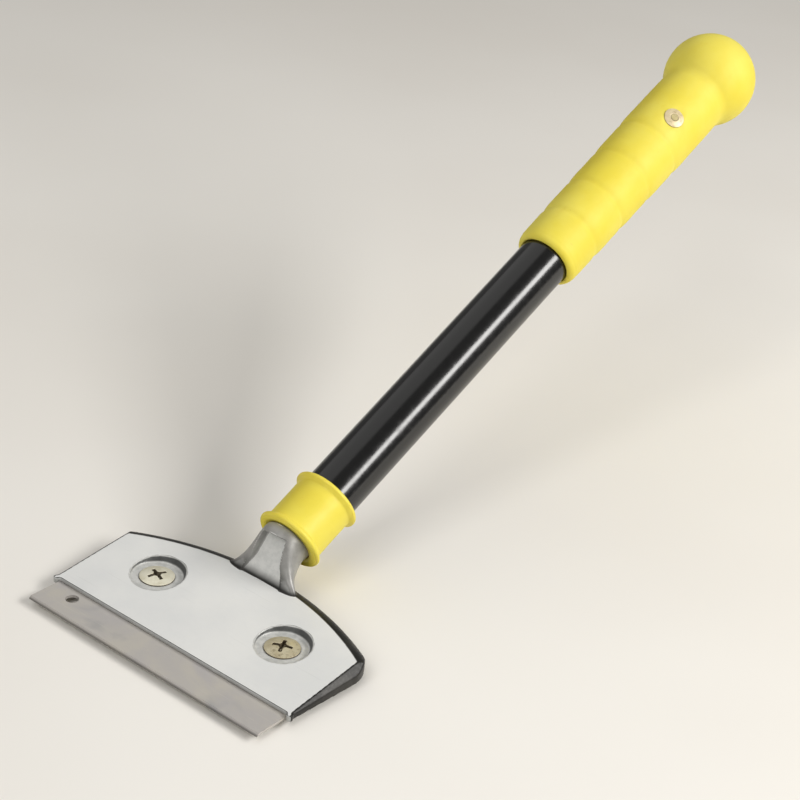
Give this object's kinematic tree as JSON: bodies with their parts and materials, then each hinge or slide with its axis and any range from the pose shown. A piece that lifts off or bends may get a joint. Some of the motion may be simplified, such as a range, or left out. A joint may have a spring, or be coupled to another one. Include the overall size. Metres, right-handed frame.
{
  "type": "long-handled blade scraper",
  "caption": "Long-handled scraper: wide clamped blade under an angled cast head, round black tube handle, yellow ball-ended grip.",
  "frame": {"origin": "centre of the bounding box, at its bottom: the plane of the clamp plate's underside, on which the head lies flat", "axes": "+X along the blade, +Y from the cutting edge towards the ball end of the handle, +Z out of the head's top side; the handle rises 25.7 degrees from the XY plane"},
  "size_m": [0.107, 0.319, 0.1485],
  "materials": {
    "cast_head": "as cast, top face ground",
    "blade_steel": "ground, lightly scratched",
    "plate_steel": "zinc plated",
    "screw_bright": "zinc plated, bright",
    "screw_dull": "zinc plated, dirty",
    "tube_black": "gloss powder coat",
    "collar_yellow": "moulded",
    "grip_yellow": "soft moulded",
    "rivet_metal": "plated",
    "rivet_pin": "plated, dull"
  },
  "bodies": {
    "head_and_handle": {"head_casting": "cast_head", "handle_tube": "tube_black", "tube_pin": "plate_steel", "collar": "collar_yellow", "grip": "grip_yellow", "grip_rivet": "rivet_metal", "rivet_mandrel": "rivet_pin"},
    "blade": {"blade": "blade_steel"},
    "clamp_plate": {"clamp_plate": "plate_steel"},
    "screw_left": {"clamp_screw_left": "screw_bright"},
    "screw_right": {"clamp_screw_right": "screw_dull"}
  },
  "joints": [
    {"name": "screw_left_turn", "type": "hinge", "parent": "head_and_handle", "child": "screw_left", "pos_m": [-0.0278, -0.12376, 0.00202], "axis": [0, 0, 1], "range_deg": [0, 720]},
    {"name": "screw_right_turn", "type": "hinge", "parent": "head_and_handle", "child": "screw_right", "pos_m": [0.0278, -0.12376, 0.00202], "axis": [0, 0, 1], "range_deg": [0, 720]},
    {"name": "clamp_plate_drop", "type": "slide", "parent": "head_and_handle", "child": "clamp_plate", "axis": [0, 0, -1], "range_m": [0, 0.002]},
    {"name": "blade_slide", "type": "slide", "parent": "head_and_handle", "child": "blade", "axis": [0, -1, 0], "range_m": [0, 0.03]}
  ],
  "couplings": [
    {"joint": "screw_left_turn", "follows": "clamp_plate_drop", "rad_per_m": 6283.2},
    {"joint": "screw_right_turn", "follows": "clamp_plate_drop", "rad_per_m": 6283.2}
  ]
}
